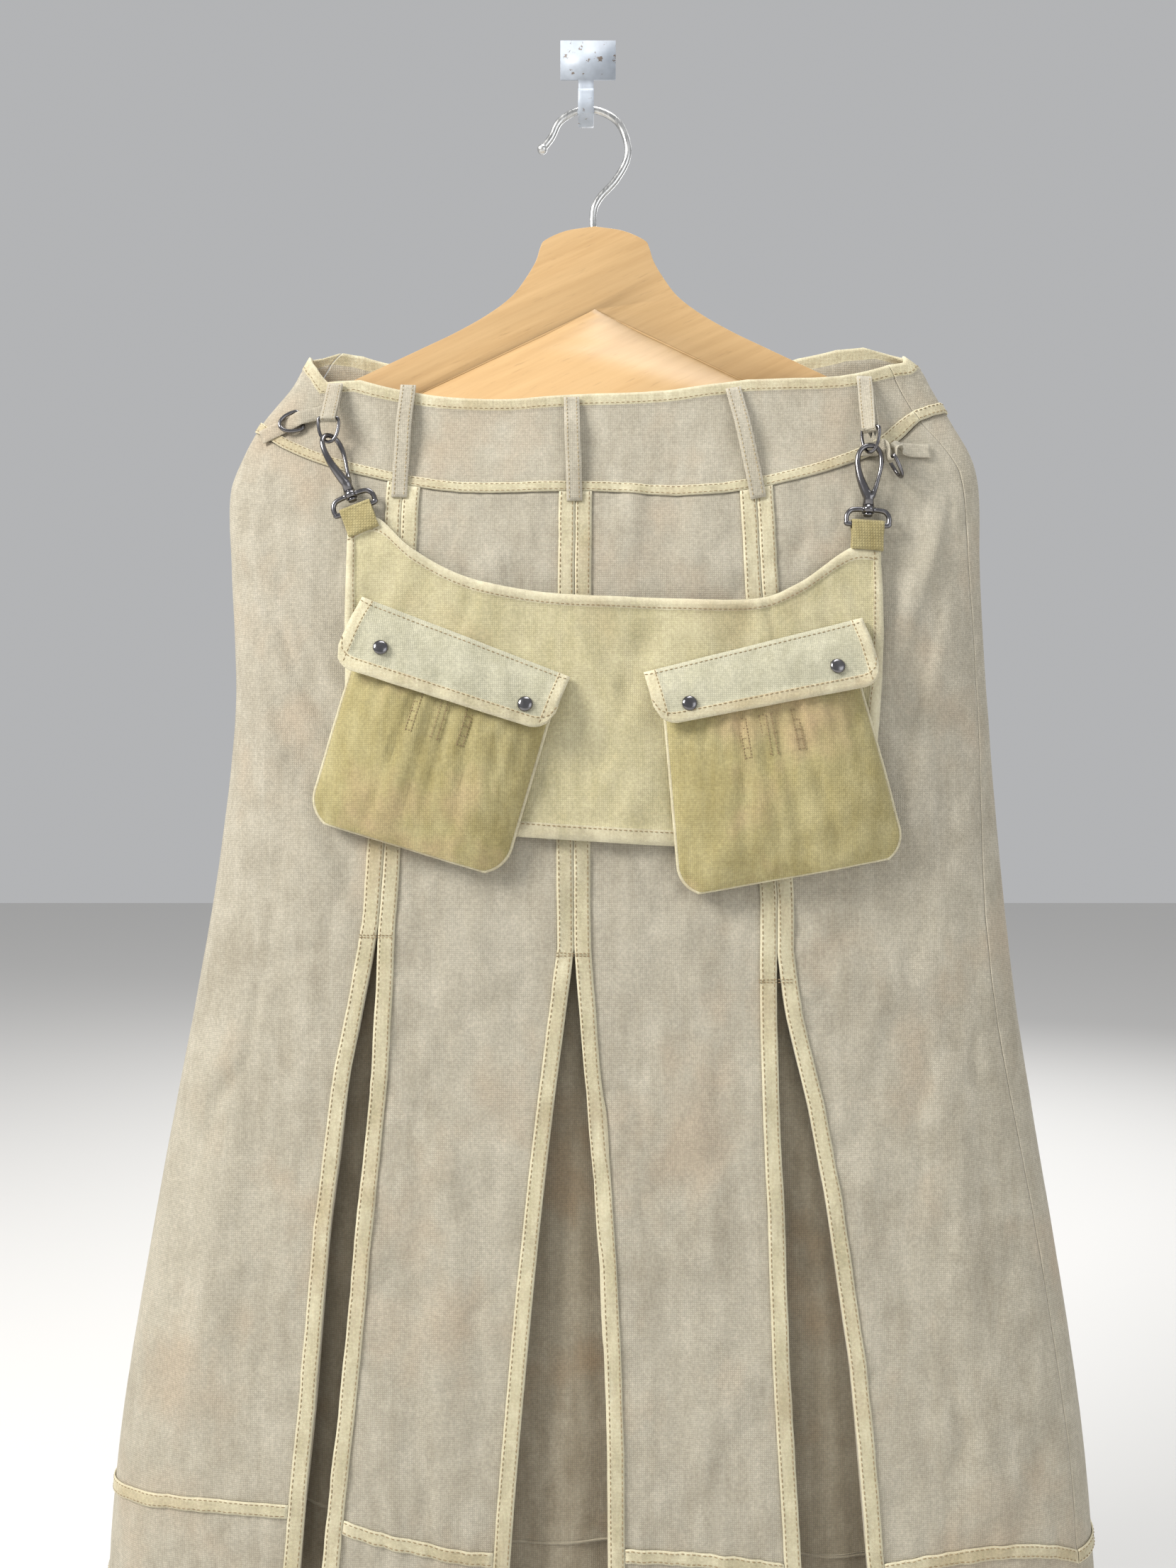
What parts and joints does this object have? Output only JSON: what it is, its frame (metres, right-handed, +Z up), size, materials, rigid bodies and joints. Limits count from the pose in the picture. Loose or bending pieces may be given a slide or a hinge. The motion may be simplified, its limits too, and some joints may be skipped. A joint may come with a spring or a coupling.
{
  "type": "pleated skirt on hanger",
  "caption": "Long A-line skirt with front box pleats, taped seams and a clip-on pocket apron, hung flat on a wooden hanger from a wall hook.",
  "frame": {"origin": "middle of the wall plate's back face", "axes": "+Z up along the skirt, +X to the right as seen from the front, +Y into the wall"},
  "size_m": [0.5859, 0.0921, 0.963],
  "materials": {
    "taupe_cloth": "garment-dyed plain-weave canvas, mottled",
    "pleat_cloth": "garment-dyed plain-weave canvas, browner",
    "cream_tape": "stitched cotton tape",
    "apron_cloth": "washed cotton canvas",
    "flap_cloth": "washed cotton canvas, greyish",
    "pocket_cloth": "washed cotton canvas, khaki",
    "webbing": "ribbed khaki webbing",
    "gunmetal": "polished black nickel",
    "steel_hook": "satin wire",
    "wood": "light beech, clear varnish",
    "painted_metal": "chipped pale blue-grey paint"
  },
  "bodies": {
    "skirt": {"apron": "apron_cloth", "back_hem": "taupe_cloth", "back_panel": "taupe_cloth", "belt_loop_back_1": "taupe_cloth", "belt_loop_back_2": "taupe_cloth", "belt_loop_back_3": "taupe_cloth", "belt_loop_front_1": "taupe_cloth", "belt_loop_front_2": "taupe_cloth", "belt_loop_front_3": "taupe_cloth", "flap_left": "flap_cloth", "flap_right": "flap_cloth", "front_hem_1": "taupe_cloth", "front_hem_2": "taupe_cloth", "front_hem_3": "taupe_cloth", "front_hem_4": "taupe_cloth", "front_panel_1": "taupe_cloth", "front_panel_2": "taupe_cloth", "front_panel_3": "taupe_cloth", "front_panel_4": "taupe_cloth", "hanger": "wood", "hanger_hook": "steel_hook", "pleat_band_1_left": "cream_tape", "pleat_band_1_right": "cream_tape", "pleat_band_2_left": "cream_tape", "pleat_band_2_right": "cream_tape", "pleat_band_3_left": "cream_tape", "pleat_band_3_right": "cream_tape", "pleat_insert_1": "pleat_cloth", "pleat_insert_2": "pleat_cloth", "pleat_insert_3": "pleat_cloth", "pocket_left": "pocket_cloth", "pocket_right": "pocket_cloth", "side_strap_left": "taupe_cloth", "side_strap_right": "taupe_cloth", "side_tab_left": "taupe_cloth", "side_tab_right": "taupe_cloth", "snap_hook_left": "gunmetal", "snap_hook_right": "gunmetal", "strap_ring_left": "gunmetal", "strap_ring_right": "gunmetal", "stud_left_1": "gunmetal", "stud_left_2": "gunmetal", "stud_right_1": "gunmetal", "stud_right_2": "gunmetal", "swivel_ring_left": "gunmetal", "swivel_ring_right": "gunmetal", "tier_band_1": "cream_tape", "tier_band_2": "cream_tape", "tier_band_3": "cream_tape", "tier_band_4": "cream_tape", "tier_band_back": "cream_tape", "waist_tape_back": "cream_tape", "waist_tape_front": "cream_tape", "waistband_back": "taupe_cloth", "waistband_front": "taupe_cloth", "wall_hook": "painted_metal", "webbing_loop_left": "webbing", "webbing_loop_right": "webbing"},
    "left_ring": {"spare_ring_left": "gunmetal"},
    "right_ring": {"spare_ring_right": "gunmetal"}
  },
  "joints": [
    {"name": "left_ring_swing", "type": "hinge", "parent": "skirt", "child": "left_ring", "pos_m": [-0.16973, -0.04092, -0.23395], "axis": [0.3698, -0.2566, -0.893], "range_deg": [-100, 0]},
    {"name": "right_ring_swing", "type": "hinge", "parent": "skirt", "child": "right_ring", "pos_m": [0.1756, -0.0568, -0.26], "axis": [0, 1, 0], "range_deg": [-35, 25]}
  ]
}
